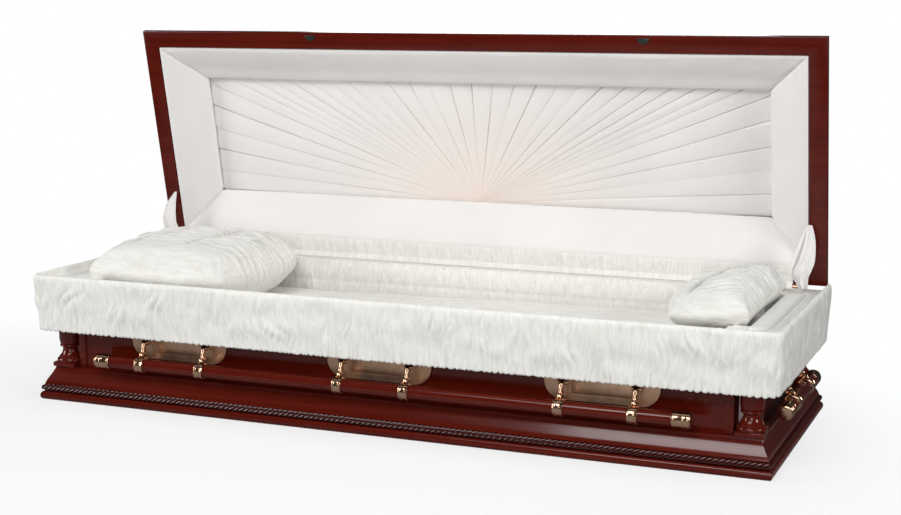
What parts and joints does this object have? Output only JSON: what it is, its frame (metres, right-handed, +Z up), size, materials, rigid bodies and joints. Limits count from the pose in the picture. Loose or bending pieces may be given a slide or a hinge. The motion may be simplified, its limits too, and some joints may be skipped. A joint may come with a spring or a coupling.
{
  "type": "funeral casket",
  "caption": "Full-couch wooden casket with raised hinged lid, padded interior, pillows, overlay skirt, rope-carved base and swinging bar handles.",
  "frame": {"origin": "middle of the underside of the box", "axes": "+X from the head end to the foot end, +Y from the front to the hinges, +Z up"},
  "size_m": [2.17, 0.9013, 1.0531],
  "materials": {
    "stained_wood": "gloss lacquer",
    "carved_wood": "gloss lacquer",
    "crepe": "matte crepe",
    "satin": "soft satin",
    "copper": "brushed and lacquered",
    "dark_metal": "satin"
  },
  "bodies": {
    "casket": {"base_moulding": "stained_wood", "carcase": "stained_wood", "rim_rail": "stained_wood", "column_front_head": "stained_wood", "column_front_foot": "stained_wood", "column_rear_head": "stained_wood", "column_rear_foot": "stained_wood", "rope_moulding": "carved_wood", "interior_lining": "crepe", "overlay_skirt": "crepe", "mattress": "crepe", "head_pillow": "crepe", "foot_pillow": "crepe", "gusset_head": "satin", "gusset_foot": "satin", "plate_front_1": "copper", "plate_front_2": "copper", "plate_front_3": "copper", "plate_rear_1": "copper", "plate_rear_2": "copper", "plate_rear_3": "copper", "plate_head_1": "copper", "plate_foot_1": "copper", "hinge_body_leaf": "copper"},
    "lid": {"lid_rim": "stained_wood", "lid_crown": "stained_wood", "lid_border": "satin", "sunburst_panel": "satin", "rail_shirring": "crepe", "catch_head": "dark_metal", "catch_foot": "dark_metal", "hinge_lid_leaf": "copper"},
    "handle_front": {"bar_front": "stained_wood", "cap_front_1": "copper", "cap_front_2": "copper", "arm_front_1": "copper", "arm_front_2": "copper", "arm_front_3": "copper", "arm_front_4": "copper", "arm_front_5": "copper", "arm_front_6": "copper"},
    "handle_rear": {"bar_rear": "stained_wood", "cap_rear_1": "copper", "cap_rear_2": "copper", "arm_rear_1": "copper", "arm_rear_2": "copper", "arm_rear_3": "copper", "arm_rear_4": "copper", "arm_rear_5": "copper", "arm_rear_6": "copper"},
    "handle_head": {"bar_head": "stained_wood", "cap_head_1": "copper", "cap_head_2": "copper", "arm_head_1": "copper", "arm_head_2": "copper"},
    "handle_foot": {"bar_foot": "stained_wood", "cap_foot_1": "copper", "cap_foot_2": "copper", "arm_foot_1": "copper", "arm_foot_2": "copper"}
  },
  "joints": [
    {"name": "lid_hinge", "type": "hinge", "parent": "casket", "child": "lid", "pos_m": [0, 0.35975, 0.34925], "axis": [1, 0, 0], "range_deg": [0, 78.2], "deforming": ["head_pillow", "foot_pillow", "gusset_head", "gusset_foot"]},
    {"name": "handle_front_swing", "type": "hinge", "parent": "casket", "child": "handle_front", "pos_m": [0, -0.345, 0.19], "axis": [-1, 0, 0], "range_deg": [0, 60]},
    {"name": "handle_rear_swing", "type": "hinge", "parent": "casket", "child": "handle_rear", "pos_m": [0, 0.345, 0.19], "axis": [1, 0, 0], "range_deg": [0, 60]},
    {"name": "handle_head_swing", "type": "hinge", "parent": "casket", "child": "handle_head", "pos_m": [-1.035, 0, 0.19], "axis": [0, 1, 0], "range_deg": [0, 60]},
    {"name": "handle_foot_swing", "type": "hinge", "parent": "casket", "child": "handle_foot", "pos_m": [1.035, 0, 0.19], "axis": [0, -1, 0], "range_deg": [0, 60]}
  ]
}
